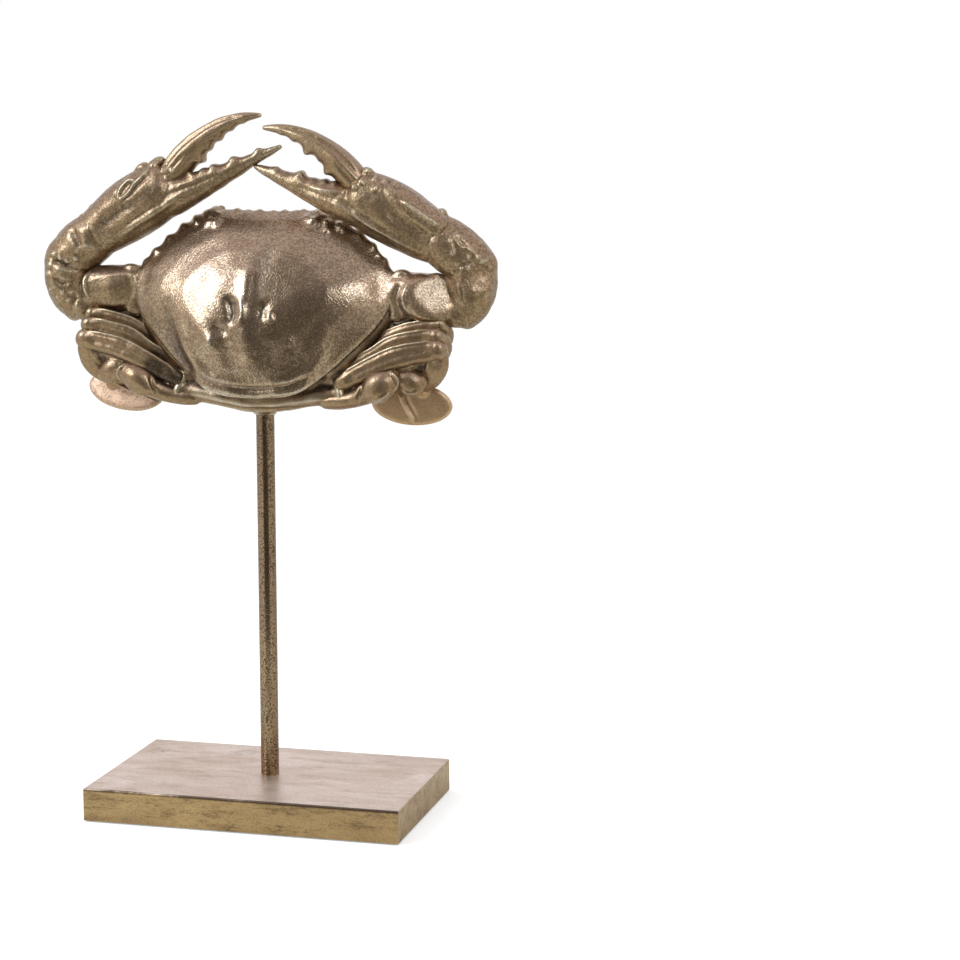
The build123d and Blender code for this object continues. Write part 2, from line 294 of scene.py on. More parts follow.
# Short ridges on the brows, and lower lumps along the shoulders.
BROWS = {
    RIGHT: (
        ((39.5, 149.5), (41, 145)),
        ((45.5, 146), (47, 141.5)),
        ((32, 144.5), (36, 141.5)),
        ((39, 142), (41.5, 139)),
        ((48, 139.5), (49.5, 134)),
        ((57, 139.5), (59.5, 135.5)),
    ),
    LEFT: (
        ((-44.5, 151), (-42.5, 147)),
        ((-51, 147.5), (-49, 143)),
        ((-38, 146), (-37, 142)),
        ((-44, 141), (-40, 138)),
        ((-58.5, 144), (-56.5, 140)),
    ),
}
LUMPS = {
    RIGHT: ((72.4, 131), (78, 127.5), (85, 123.5), (89, 118)),
    LEFT: ((-68, 138), (-79, 128.5), (-88, 117.5), (-47, 138)),
}

# Tail flap: half of its outline, its middle height and its layers.
FLAP_HALF = ((20, 14), (18.5, 26), (15, 38), (10, 50), (5.5, 58))
FLAP_MID = 36
FLAP_LAYERS = ((5.0, 0.97, 0.98, 0), (8.0, 1.0, 1.0, 0), (9.6, 0.9, 0.95, 0))
FLAP_SEAMS = (20, 27, 34, 41, 48)


def frames(stations):
    """Matrix of each ring of a limb: across in the front view, in depth and along."""
    places = [Vector(station[:3]) for station in stations]
    last = len(places) - 1
    made = []
    for i, (*_, wide, thick) in enumerate(stations):
        along = (places[min(i + 1, last)] - places[max(i - 1, 0)]).normalized()
        across = along.cross(Vector((0, 1, 0))).normalized()
        deep = along.cross(across)
        turn = Matrix((across, deep, along)).transposed().to_4x4()
        half = Matrix.Diagonal((wide / 2, thick / 2, min(wide, thick) / 2, 1))
        made.append(Matrix.Translation(places[i]) @ turn @ half)
    return made


def on(stations, along, across):
    """Point in the front view at a share along a limb, and across it from its lower to its upper edge."""
    spot = along * (len(stations) - 1)
    i = min(int(spot), len(stations) - 2)
    near, far = (np.array(matrix) for matrix in frames(stations)[i : i + 2])
    mixed = near + (far - near) * (spot - i)
    edge = mixed[:3, 0] if mixed[2, 0] > 0 else -mixed[:3, 0]
    point = mixed[:3, 3] + edge * across
    return (point[0], point[2])


def opposite(side):
    """Leaves the right side as it is, and mirrors it for the left."""
    return Matrix.Diagonal((side, 1, 1, 1))


def raised(side):
    """A claw's turn about its elbow, on its own side."""
    there = Matrix.Translation(CLAW_PIVOT)
    turn = Matrix.Rotation(math.radians(CLAW_RAISE[side]), 4, "Y")
    return opposite(side) @ there @ turn @ there.inverted()


def seen(matrix, point):
    """A point of the right side's front view after its limb is moved."""
    moved = matrix @ Vector((point[0], 5.0, point[1]))
    return (moved.x, moved.z)


def along_limb(move, stations, *spots):
    """A path on a moved limb in the front view, by shares along and across it."""
    return [seen(move, on(stations, along, across)) for along, across in spots]


def mirrored(side, *points):
    """A path of the right side's front view, on the given side."""
    return [(side * x, z) for x, z in points]


def flowing(path):
    """A path of a few points, eased into a smooth line."""
    points = np.array(path, float).reshape(-1, 2)
    if len(points) < 3:
        return points
    ends = np.vstack([2 * points[0] - points[1], points, 2 * points[-1] - points[-2]])
    eased = []
    for a, b, c, d in zip(ends, ends[1:], ends[2:], ends[3:]):
        for t in (0.0, 0.25, 0.5, 0.75):
            bend = 2 * b + (c - a) * t + (2 * a - 5 * b + 4 * c - d) * t**2 + (3 * b - a - 3 * c + d) * t**3
            eased.append(bend / 2)
    eased.append(points[-1])
    return np.array(eased)


class Clay:
    """One casting while it is still soft."""

    def __init__(self):
        self.lump = bmesh.new()

    def ball(self, place, half, turn=0.0):
        """A pressed-on ball with three half lengths, turned in the front view."""
        turned = Matrix.Rotation(math.radians(turn), 4, "Y")
        where = Matrix.Translation(place) @ turned @ Matrix.Diagonal((*half, 1))
        bmesh.ops.create_icosphere(self.lump, subdivisions=2, radius=BALL_SWELL, matrix=where)

    def rings(self, matrices, sides):
        """A closed skin over rings that are bridged in turn."""
        loops = []
        for matrix in matrices:
            ring = bmesh.ops.create_circle(self.lump, segments=sides, radius=1.0, matrix=matrix)["verts"]
            loops.append(list({edge for vert in ring for edge in vert.link_edges}))
        for near, far in zip(loops, loops[1:]):
            bmesh.ops.bridge_loops(self.lump, edges=near + far)
        bmesh.ops.edgeloop_fill(self.lump, edges=loops[0])
        bmesh.ops.edgeloop_fill(self.lump, edges=loops[-1])
        bmesh.ops.recalc_face_normals(self.lump, faces=self.lump.faces)

    def limb(self, stations):
        """A limb rolled along its stations, with rounded ends."""
        run = frames(stations)

        def domed(matrix, way):
            steps = []
            for out, share in LIMB_END:
                lifted = matrix @ Matrix.Translation((0, 0, way * out))
                steps.append(lifted @ Matrix.Diagonal((share, share, 1, 1)))
            return steps

        self.rings(domed(run[0], -1) + run[1:-1] + domed(run[-1], 1)[::-1], LIMB_SIDES)

    def plate(self, outline, layers, middle=SHELL_MID):
        """A flat outline drawn out in layers: depth, share across, share along, lift."""
        first = layers[0][0]
        face = self.lump.faces.new([self.lump.verts.new((u, first, v)) for u, v in outline])
        was = (1.0, 1.0, 0.0)
        for depth, across, along, lift in layers:
            if depth != first:
                drawn = bmesh.ops.extrude_face_region(self.lump, geom=[face])["geom"]
                face = next(g for g in drawn if isinstance(g, bmesh.types.BMFace))
            for vert in face.verts:
                vert.co.x *= across / was[0]
                vert.co.z = middle + lift + (vert.co.z - middle - was[2]) * along / was[1]
                vert.co.y = depth
            was = (across, along, lift)
        bmesh.ops.recalc_face_normals(self.lump, faces=self.lump.faces)

    def move(self, matrix):
        """Moves the soft lump, also to the other side."""
        bmesh.ops.transform(self.lump, matrix=matrix, verts=self.lump.verts)
        if matrix.determinant() < 0:
            bmesh.ops.reverse_faces(self.lump, faces=self.lump.faces)

    def set(self, grain, rounds=2, swell=2):
        """Sets the lump into one even skin of about this grain, in millimetres."""
        rough = bpy.data.meshes.new("clay")
        self.lump.to_mesh(rough)
        self.lump.free()
        holder = bpy.data.objects.new("clay", rough)
        bpy.context.scene.collection.objects.link(holder)
        soften = holder.modifiers.new("soften", "SUBSURF")
        soften.levels = soften.render_levels = swell
        skin = holder.modifiers.new("skin", "REMESH")
        skin.mode = "VOXEL"
        skin.voxel_size = grain * 1.0
        shaped = holder.evaluated_get(bpy.context.evaluated_depsgraph_get())
        self.mesh = bpy.data.meshes.new_from_object(shaped)
        bpy.data.objects.remove(holder)
        bpy.data.meshes.remove(rough)
        self.read()
        self.soothe(rounds)

    def read(self):
        """Takes the skin's points, edges and faces into arrays."""
        count = len(self.mesh.vertices)
        # Painted shade, brushed on along paths and added to the hollows when the piece is cast.
        self.darkening = np.zeros(count)
        flat = np.zeros(count * 3)
        self.mesh.vertices.foreach_get("co", flat)
        self.skin = flat.reshape(-1, 3)
        ends = np.zeros(len(self.mesh.edges) * 2, int)
        self.mesh.edges.foreach_get("vertices", ends)
        self.ends = ends.reshape(-1, 2)
        self.degree = np.bincount(ends, minlength=count).astype(float)
        self.mesh.calc_loop_triangles()
        corners = np.zeros(len(self.mesh.loop_triangles) * 3, int)
        self.mesh.loop_triangles.foreach_get("vertices", corners)
        self.corners = corners.reshape(-1, 3)

    def spread(self, values):
        """Each point's mean over its neighbours."""
        one, two = self.ends.T
        total = np.zeros_like(values)
        for axis in range(values.shape[1]):
            total[:, axis] = np.bincount(one, values[two, axis], len(values))
            total[:, axis] += np.bincount(two, values[one, axis], len(values))
        return total / self.degree[:, None]

    def face_out(self):
        """Outward directions of the skin's points."""
        a, b, c = (self.skin[self.corners[:, i]] for i in range(3))
        area = np.cross(b - a, c - a)
        out = np.zeros_like(self.skin)
        for axis in range(3):
            for i in range(3):
                out[:, axis] += np.bincount(self.corners[:, i], area[:, axis], len(out))
        self.out = out / np.maximum(np.linalg.norm(out, axis=1), 1e-9)[:, None]

    def soothe(self, rounds):
        """Rubs the skin smooth."""
        for _ in range(rounds):
            self.skin += (self.spread(self.skin) - self.skin) * RUB
        self.face_out()

    def near(self, path, wide, face, fade):
        """Points of the skin by a path in the front view, and their share in what is done along it."""
        points = flowing(path)
        flat = self.skin[:, (0, 2)]
        reach = wide * PRESS_REACH
        inside = (flat > points.min(0) - reach).all(1) & (flat < points.max(0) + reach).all(1)
        near = np.nonzero(inside & (self.out[:, 1] * face > 0.02))[0]
        gap = np.full(len(near), 1e9)
        walk = np.full(len(near), 0.5)
        steps = max(len(points) - 1, 1)
        for i in range(steps):
            begin = points[i]
            run = points[min(i + 1, len(points) - 1)] - begin
            share = np.clip(((flat[near] - begin) @ run) / max(run @ run, 1e-9), 0, 1)
            away = np.linalg.norm(flat[near] - begin - share[:, None] * run, axis=1)
            closer = away < gap
            gap[closer] = away[closer]
            walk[closer] = (i + share[closer]) / steps
        facing = np.clip(self.out[near, 1] * face * PRESS_TURN, 0, 1)
        weight = np.exp(-SOFTNESS * (gap / wide) ** 2) * facing
        if steps > 1 and fade > 0:
            weight *= np.clip(walk / fade, PATH_END, 1) * np.clip((1 - walk) / fade, PATH_END, 1)
        return near, weight

    def press(self, path, wide, high, face=FRONT, fade=0.3):
        """Raises a soft line along a path in the front view, or sinks it."""
        near, weight = self.near(path, wide, face, fade)
        self.skin[near] += self.out[near] * (weight * high)[:, None]

    def paint_shade(self, path, wide, depth):
        """Brushes painted shade on the front along a path; it is added to the hollows when the piece is
        cast.
        """
        near, weight = self.near(path, wide, FRONT, 0.0)
        self.darkening[near] += weight * depth

    def knobs(self, places, wide, high):
        """Small round bumps, each a little different."""
        for place in places:
            self.press([place], wide * chance.uniform(0.8, 1.2), high * chance.uniform(0.8, 1.25))

    def grab(self, place, wide, shift):
        """Pulls the skin near a place in the front view along with it."""
        gap = np.linalg.norm(self.skin[:, (0, 2)] - np.array(place), axis=1)
        weight = np.exp(-SOFTNESS * (gap / wide) ** 2)
        self.skin[:, 0] += weight * shift[0]
        self.skin[:, 2] += weight * shift[1]

    def flatten(self, middle, deep, slope):
        """Presses the front flat, on a plane through a place and with a slope along x and z."""
        plane = deep + (self.skin[:, 0] - middle[0]) * slope[0] + (self.skin[:, 2] - middle[1]) * slope[1]
        self.skin[:, 1] += np.maximum(plane - self.skin[:, 1], 0) * 0.7
        self.soothe(6)

    def facet(self, middle, wide, slope, share, rounds):
        """Turns the front near a place softly to a slope along x and z, and rubs its edge away."""
        away = self.skin[:, (0, 2)] - np.array(middle)
        edge = np.exp(-FACET_SOFTNESS * (np.linalg.norm(away, axis=1) / wide) ** 4)
        weight = edge * (self.out[:, 1] < -0.2) * share
        deep = np.average(self.skin[:, 1], weights=weight**2 + 1e-12)
        self.skin[:, 1] += (deep + away @ np.array(slope) - self.skin[:, 1]) * weight
        self.soothe(rounds)

    def ripple(self, size, high):
        """The slight unevenness of a casting."""
        lift = [noise.noise(Vector(point)) for point in (self.skin / size).tolist()]
        self.skin += self.out * (np.array(lift) * high)[:, None]

    def cast(self, node, lean=False, finish=None):
        """Turns the worked skin into the finished piece that stands for its CAD node."""
        self.face_out()
        # The hollows start from the painted shade; the casting's own hollows then add brown patina, and its
        # ridges rubbed gold.
        hollow = self.darkening.copy()
        calm = self.skin.copy()
        for rounds in range(1, HOLLOW_ROUNDS[-1] + 1):
            calm += (self.spread(calm) - calm) * RUB
            if rounds in HOLLOW_ROUNDS:
                hollow += ((calm - self.skin) * self.out).sum(1) / math.sqrt(rounds)
        mark = self.mesh.attributes.new("hollow", "FLOAT", "POINT")
        mark.data.foreach_set("value", hollow.astype(np.float32))
        self.mesh.vertices.foreach_set("co", self.skin.astype(np.float32).ravel())
        scale = Matrix.Diagonal((MM, MM, MM, 1))
        tilt = Matrix.Rotation(-LEAN if lean else 0.0, 4, "X")
        self.mesh.transform(scale @ Matrix.Translation((0, 0, BODY_HIGH)) @ tilt)
        self.mesh.polygons.foreach_set("use_smooth", np.ones(len(self.mesh.polygons), bool))
        self.mesh.update()
        name = node.replace("claw_", "") + "_cast"
        self.mesh.name = name
        piece = bpy.data.objects.new(name, self.mesh)
        bpy.context.scene.collection.objects.link(piece)
        self.mesh.materials.clear()
        self.mesh.materials.append(finish or LIMB_GOLD)
        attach(piece, "crab")
        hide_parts(node)


class Sum:
    """A value in a material's node tree, on which sums are written as sums."""

    def __init__(self, paint, socket):
        self.paint = paint
        self.socket = socket

    def maths(self, how, first, second):
        return self.paint.node("ShaderNodeMath", {"operation": how}, {0: first, 1: second})

    def __add__(self, other):
        return self.maths("ADD", self, other)

    def __sub__(self, other):
        return self.maths("SUBTRACT", self, other)

    def __rsub__(self, other):
        return self.maths("SUBTRACT", other, self)

    def __mul__(self, other):
        return self.maths("MULTIPLY", self, other)

    def __pow__(self, other):
        return self.maths("POWER", self, other)

    __radd__ = __add__
    __rmul__ = __mul__


class Paint:
    """One material and the ways to add to its node tree."""

    def __init__(self, name):
        self.material = bpy.data.materials.new(name)
        self.material.use_nodes = True
        self.tree = self.material.node_tree
        self.surface = self.tree.nodes["Principled BSDF"]

    def feed(self, socket, value):
        """Links a value to a socket, or sets a plain number or colour on it."""
        if isinstance(value, Sum):
            self.tree.links.new(value.socket, socket)
        else:
            socket.default_value = value

    def node(self, kind, settings, inputs, output=0):
        """A node with its settings and inputs; what it gives back is one of its outputs."""
        made = self.tree.nodes.new(kind)
        for name, value in settings.items():
            setattr(made, name, value)
        for name, value in inputs.items():
            self.feed(made.inputs[name], value)
        return Sum(self, made.outputs[output])

    def place(self, stretch=(1, 1, 1)):
        """Object coordinates, stretched for streaks."""
        spot = self.node("ShaderNodeTexCoord", {}, {}, "Object")
        return self.node("ShaderNodeMapping", {}, {"Vector": spot, "Scale": stretch})

    def cloud(self, scale, detail, rough, stretch=(1, 1, 1), bend=0.0):
        """Noise from 0 to 1."""
        inputs = {"Vector": self.place(stretch), "Scale": scale, "Detail": detail}
        inputs |= {"Roughness": rough, "Distortion": bend}
        return self.node("ShaderNodeTexNoise", {}, inputs, "Fac")

    def between(self, value, low, high, start=0.0, stop=1.0):
        """The value's share between two limits, from start to stop."""
        inputs = {"Value": value, "From Min": low, "From Max": high, "To Min": start, "To Max": stop}
        return self.node("ShaderNodeMapRange", {"clamp": True}, inputs)

    def mix(self, share, one, two):
        """Goes from one colour to the other."""
        settings = {"data_type": "RGBA", "blend_type": "MIX"}
        return self.node("ShaderNodeMix", settings, {0: share, 6: one, 7: two}, 2)

    def parts(self, vector):
        """The x, y and z of a vector."""
        split = self.node("ShaderNodeSeparateXYZ", {}, {"Vector": vector})
        return [Sum(self, output) for output in split.socket.node.outputs]

    def upward(self):
        """How far the surface looks up, from -1 to 1."""
        return self.parts(self.node("ShaderNodeNewGeometry", {}, {}, "Normal"))[2]

    def dents(self, height, strength, reach):
        """A bump from a height that goes into the surface's normal."""
        return self.node("ShaderNodeBump", {}, {"Height": height, "Strength": strength, "Distance": reach})

    def done(self, **inputs):
        """The finished material, with these inputs of its surface."""
        for name, value in inputs.items():
            self.feed(self.surface.inputs[name.replace("_", " ")], value)
        return self.material


def colour(red, green, blue):
    """A colour as seen on a screen, from 0 to 255."""
    light = []
    for part in (red, green, blue):
        share = part / 255
        light.append(((share + 0.055) / 1.055) ** 2.4 if part > 10 else share / 12.92)
    return (*light, 1.0)


# Brown of the patina in the hollows, which also carries the painted shade.
UMBER_PATINA_AND_SHADE = colour(46, 34, 22)
RUBBED_GOLD = colour(212, 200, 170)
PEPPER = colour(62, 48, 34)
BRIGHT_FLAKE = colour(216, 205, 178)
LACQUER_ROUGH = 0.24


def antique_gold(name, gloss, relief, pepper, tone, coat=0.3, painted_sheen=0.0):
    """Cast gold with brown patina and painted shade in its hollows, a painted mauve sheen on faces that
    look up, rubbed bright on its ridges and finely speckled.
    """
    paint = Paint(name)

    def shade(*parts):
        return colour(*(part * tone for part in parts))

    up = paint.upward()
    broad = paint.cloud(14, 3, 0.5)
    patches = paint.cloud(70, 5, 0.62, bend=0.4)
    speckle = paint.cloud(700, 1, 0.5)
    grain = paint.cloud(300, 3, 0.6)
    flecks = speckle + (grain - 0.5) * 0.5
    hollow = paint.node("ShaderNodeAttribute", {"attribute_name": "hollow"}, {}, "Fac")
    gold = paint.mix(paint.between(broad, 0.35, 0.65), shade(150, 122, 88), shade(142, 115, 76))
    # Faces that look up are painted mauve as a painted sheen of light from above; the last argument adds
    # more of it all over.
    sheen_share = paint.between(up + painted_sheen + (broad - 0.5) * 1.2, -0.2, 0.7)
    mauve = paint.mix(sheen_share, gold, shade(153, 124, 103))
    uneven = paint.mix(paint.between(patches, 0.3, 0.72, 0.0, 0.4), mauve, shade(119, 98, 73))
    # Brown in the hollows: patina, together with the painted shade brushed onto the clay.
    patina_and_shade = paint.between(hollow + (patches - 0.5) * 0.06, 0.05, 0.42, 0.0, 0.85)
    dark = paint.mix(patina_and_shade, uneven, UMBER_PATINA_AND_SHADE)
    rubbed = paint.between(hollow + (patches - 0.5) * 0.08, -0.08, -0.4, 0.0, 0.55)
    worn = paint.mix(rubbed, dark, RUBBED_GOLD)
    dots = paint.between(flecks, 0.48, 0.36, 0.0, pepper)
    pitted = paint.mix(dots, worn, PEPPER)
    flakes = paint.between(flecks, 0.55, 0.66, 0.0, pepper * 0.4)
    final = paint.mix(flakes, pitted, BRIGHT_FLAKE)
    shine = gloss + paint.between(patches, 0.25, 0.75, 0.0, 0.06) + patina_and_shade * 0.12 + dots * 0.15
    bump = paint.dents(grain * 0.3 + paint.between(speckle, 0.3, 0.7) * 0.7, relief, 0.0006)
    lacquer = {"Coat_Weight": coat, "Coat_Roughness": LACQUER_ROUGH}
    return paint.done(Base_Color=final, Metallic=0.95, Roughness=shine, Normal=bump, **lacquer)


def gold_rod():
    """The rod's gold, pitted and streaked with brown."""
    paint = Paint("gold_rod")
    streaks = paint.cloud(160, 5, 0.65, stretch=(1, 1, 0.22))
    blots = paint.cloud(30, 4, 0.6, stretch=(1, 1, 0.4))
    speckle = paint.cloud(760, 1, 0.5)
    gold = paint.mix(paint.between(blots, 0.35, 0.65), colour(160, 136, 101), colour(140, 115, 92))
    streaked = paint.mix(paint.between(streaks, 0.46, 0.66, 0.0, 0.5), gold, colour(104, 82, 58))
    dots = paint.between(speckle + (streaks - 0.5) * 0.6, 0.5, 0.38, 0.0, 0.75)
    final = paint.mix(dots, streaked, colour(52, 38, 26))
    bump = paint.dents(speckle, 0.2, 0.0005)
    return paint.done(Base_Color=final, Metallic=0.95, Roughness=0.2 + dots * 0.2, Normal=bump)


# Blots on the base's top, in metres: place, narrowness across and along, strength.
BOARD_BLOTS = (((-0.0415, 0.05), (7400.0, 20000.0), 1.0), ((-0.1086, 0.043), (12000.0, 12000.0), 0.9))


def gold_board():
    """The base's gold leaf: olive on its sides and painted paler and pinker on top as a painted sheen, with
    brown hair cracks and worn edges.
    """
    paint = Paint("gold_board")
    up = paint.upward()
    x, y, z = paint.parts(paint.node("ShaderNodeTexCoord", {}, {}, "Object"))
    clouds = paint.cloud(24, 5, 0.6, stretch=(0.6, 1.3, 1.3), bend=0.6)
    streaks = paint.cloud(80, 6, 0.7, stretch=(0.3, 1.2, 1.2), bend=0.5)
    hairs = paint.cloud(150, 6, 0.72, stretch=(0.3, 1, 1), bend=1.4)
    speckle = paint.cloud(850, 1, 0.5)
    # The top's pale pink against the olive sides is a painted sheen, mixed in by how far each face looks
    # up.
    top = paint.mix(paint.between(clouds, 0.35, 0.65), colour(196, 170, 155), colour(219, 199, 188))
    top = paint.mix(paint.between(streaks, 0.5, 0.7, 0.0, 0.5), top, colour(160, 134, 116))
    front = paint.mix(paint.between(clouds, 0.35, 0.65), colour(180, 149, 101), colour(161, 132, 89))
    front = paint.mix(paint.between(streaks, 0.5, 0.7, 0.0, 0.6), front, colour(104, 80, 50))
    board = paint.mix(paint.between(up, 0.3, 0.8), front, top)
    away = paint.node("ShaderNodeMath", {"operation": "ABSOLUTE"}, {0: hairs - 0.5})
    cracks = paint.between(away, 0.022, 0.004) * paint.between(streaks, 0.38, 0.56)
    board = paint.mix(cracks * paint.between(up, 1.0, 0.4, 0.35, 0.8), board, colour(74, 54, 34))
    dots = paint.between(speckle + (streaks - 0.5) * 0.6, 0.42, 0.3, 0.0, 0.45)
    board = paint.mix(dots, board, colour(112, 88, 66))
    edge = paint.between(z, 0.0236, 0.0246) * paint.between(y, -0.0728, -0.074)
    edge = edge * paint.between(streaks + (x + 0.02) * 1.2, 0.26, 0.46)
    board = paint.mix(edge * 0.9, board, colour(58, 42, 28))
    marks = 0.0
    for (across, along), (narrow, short), share in BOARD_BLOTS:
        outward = (x - across) ** 2.0 * narrow + (y - along) ** 2.0 * short
        marks = paint.between(outward, 1.2, 0.2) * share + marks
    ragged = paint.cloud(260, 5, 0.72, bend=1.5)
    marks = marks * paint.between(ragged, 0.48, 0.56) * paint.between(up, 0.6, 0.9)
    board = paint.mix(paint.between(marks, 0.0, 1.0, 0.0, 0.7), board, colour(92, 74, 60))
    gloss = 0.3 + paint.between(streaks, 0.3, 0.7, 0.0, 0.18)
    bump = paint.dents(streaks * 0.5 + hairs * 0.3 + speckle * 0.3, 0.16, 0.0005)
    return paint.done(Base_Color=board, Metallic=0.75, Roughness=gloss, Normal=bump)


def plain_metal(name, light, shade):
    """Turned or plated hardware with fine marks."""
    paint = Paint(name)
    marks = paint.cloud(700, 4, 0.6, stretch=(1, 1, 0.2))
    darkening = paint.cloud(90, 4, 0.6)
    final = paint.mix(paint.between(darkening, 0.35, 0.7), light, shade)
    bump = paint.dents(marks, 0.1, 0.0003)
    return paint.done(Base_Color=final, Metallic=1.0, Roughness=0.25 + marks * 0.15, Normal=bump)


def black_felt():
    """Matted fibres under the base."""
    paint = Paint("black_felt")
    fibres = paint.cloud(1600, 5, 0.75)
    tufts = paint.cloud(120, 4, 0.6)
    final = paint.mix(paint.between(fibres + tufts * 0.3, 0.4, 0.9), colour(24, 23, 22), colour(58, 55, 52))
    bump = paint.dents(fibres, 0.5, 0.0006)
    return paint.done(Base_Color=final, Roughness=0.95, Normal=bump)


def shell_outline():
    """The shell's whole outline, from the brow's middle round to the right."""
    return list(SHELL_HALF) + mirrored(LEFT, *SHELL_HALF[-2:0:-1])


def make_shell():
    """Domed back with toothed shoulders, lumpy brows and its pattern of pits."""
    clay = Clay()
    clay.plate(shell_outline(), [(depth, share, share, 0) for depth, share in DOME])
    clay.set(0.95, 3)
    for side in (RIGHT, LEFT):
        for u, v, across, up, wide in SCALLOPS[side]:
            clay.grab((u, v), wide, (across, up))
    for u, high in FRINGE:
        clay.grab((u, FRINGE_HIGH), FRINGE_WIDE, (0, high))
    clay.face_out()

    # Broad swells and hollows of the dome.
    for side in (RIGHT, LEFT):
        skirt = mirrored(side, (62, 62), (54, 45), (46, 29), (34, 18), (18, 14), (0, 13))
        clay.press(skirt, 10, 2.2, fade=0.2)
        clay.press(mirrored(side, (88, 104), (94, 92), (90, 80)), 10, -1.2)
    foot = [(-72, 74), (-68, 58), (-62, 42), (-53, 28), (-43, 18)]
    clay.press(foot, 8.0, -2.0, fade=0.2)
    clay.press([(-24, 86)], 30, 1.5)
    clay.press([(-40, 52)], 20, 2.4)
    clay.press([(62, 82)], 30, 1.4)
    clay.face_out()

    # The ridge down the middle, and the folds and pits beside it.
    clay.press([(-4, 112), (-4.5, 92), (-4, 70), (-4, 52), (-5, 38)], 8.0, 1.4, fade=0.25)
    clay.press([(0, 50), (0, 38), (0, 26)], 9, 1.0)
    for side in (RIGHT, LEFT):
        clay.press(mirrored(side, (31, 43)), 9, 3.0 if side == LEFT else 1.2)
        clay.press(mirrored(side, (14, 46), (17, 36), (13, 26)), 8, -1.0)
        clay.press(mirrored(side, (44, 40), (36, 27), (24, 20)), 8, -0.8)
    clay.press([(-21, 79), (-15, 71), (-13.5, 63), (-17, 57)], 5.8, -2.3)
    clay.press([(-12, 80), (-7.5, 72), (-6, 65), (-8.5, 58), (-15, 53)], 4.6, 1.5)
    clay.press([(-15, 52), (-22, 52), (-30, 57)], 5.0, -1.2)
    clay.press([(14, 74), (9.5, 67), (10.5, 58)], 5.4, -1.3)
    clay.press([(15.6, 64), (16.4, 61)], 4.6, 1.3)

    # The rolled rim along the tail and the groove above it.
    rim = [(-47, 18), (-33, 10.5), (-16, 7.6), (0, 6.8), (16, 7.6), (33, 10.5), (47, 18)]
    clay.press(rim, 2.6, 1.4, fade=0.1)
    groove = [(-45, 23), (-32, 15), (-16, 11.8), (0, 11), (16, 11.8), (32, 15), (45, 23)]
    clay.press(groove, 3.0, -1.6, fade=0.1)
    clay.face_out()
    for side in (RIGHT, LEFT):
        for brow in BROWS[side]:
            clay.press(brow, 4.6, 1.6)
        clay.knobs(LUMPS[side], 5.2, 1.2)
    clay.ripple(26, 0.3)
    clay.ripple(9, 0.12)
    clay.soothe(1)
    # Painted shade along the dome's left foot and over its left flank, and a painted dark reflection down
    # the dome's middle.
    clay.paint_shade(foot, 9.0, 0.16)
    clay.paint_shade([(8, 112), (8, 92), (6, 74), (2, 54)], 15.0, 0.2)
    clay.paint_shade([(-88, 72), (-78, 56), (-67, 41), (-56, 28)], 8.0, 0.16)
    clay.cast("carapace", lean=True, finish=SHELL_GOLD)


def make_body():
    """Body under the shell: rear band with its seams, belly plates and the collar on the rod."""
    clay = Clay()
    layers = []
    for depth, across, along, base in BODY_LAYERS:
        layers.append((depth, across, along, base + (SHELL_MID - BODY_LOW) * along - SHELL_MID))
    clay.plate(shell_outline(), layers)
    for side in (RIGHT, LEFT):
        clay.limb([(side * x, *rest) for x, *rest in FLANK])
    clay.move(Matrix.Rotation(-LEAN, 4, "X"))
    for side in (RIGHT, LEFT):
        for (x, y, z), half, turn in BODY_BALLS:
            clay.ball((side * x, y, z), half, side * turn)
    clay.limb((*REAR_BAND, *[(-x, *rest) for x, *rest in REAR_BAND[-2::-1]]))
    rings = [Matrix.Translation((0, 0, z)) @ Matrix.Diagonal((r, r, 1, 1)) for z, r in COLLAR]
    clay.rings(rings, COLLAR_SIDES)
    clay.set(1.2, 2, swell=1)

    # Seams of the rear band, in front.
    clay.press([(-60, 13.5), (-40, 10), (-15, 5.5), (10, 5), (36, 8.5), (60, 13)], 2.2, -1.6)
    clay.press([(-60, 10.5), (-40, 7), (-15, 3), (10, 2.5), (36, 5.5), (60, 10)], 2.2, 1.0)
    clay.face_out()
    for side in (RIGHT, LEFT):
        clay.press(mirrored(side, (58, 33), (62, 26), (65, 18), (67, 11)), 5.0, 2.0, fade=0.2)
        clay.press(mirrored(side, (78, 25), (75, 18), (71, 12)), 3.0, 1.8, fade=0.2)
        clay.press(mirrored(side, (70, 30), (70, 20), (69, 13)), 2.6, -1.6, fade=0.2)
    clay.face_out()

    # Belly plates, at the back.
    for side in (RIGHT, LEFT):
        for v in (30, 46, 62, 78):
            clay.press(mirrored(side, (22, v - 4), (42, v + 3), (66, v + 14)), 3.0, -1.6, face=BACK)
        clay.press(mirrored(side, (20, 22), (19, 60), (8, 84)), 3.0, -1.4, face=BACK)
    clay.ripple(11, 0.5)
    clay.soothe(1)
    # Painted shade in the recesses beside the legs' roots and under the arms.
    for side in (RIGHT, LEFT):
        clay.paint_shade(mirrored(side, (84, 48), (77, 38), (71, 29), (70, 17)), 5.0, 0.5)
        clay.paint_shade(mirrored(side, (52, 27), (57, 20), (60, 13)), 3.4, 0.3)
        clay.paint_shade(mirrored(side, (100, 78), (92, 66), (84, 56)), 8.0, 0.5)
    open_collar(clay.skin)
    clay.cast("thorax")


def open_collar(skin):
    """Opens the collar for the rod's end, with clear room round it."""
    reach = np.hypot(skin[:, 0], skin[:, 1])
    inner = (reach < COLLAR_ROOM) & (skin[:, 2] < COLLAR_DEEP)
    skin[inner & (reach < ROD_ROOM), 2] = COLLAR_DEEP
    ring = inner & (reach >= ROD_ROOM)
    skin[ring, :2] *= (np.maximum(reach[ring], COLLAR_BORE) / reach[ring])[:, None]


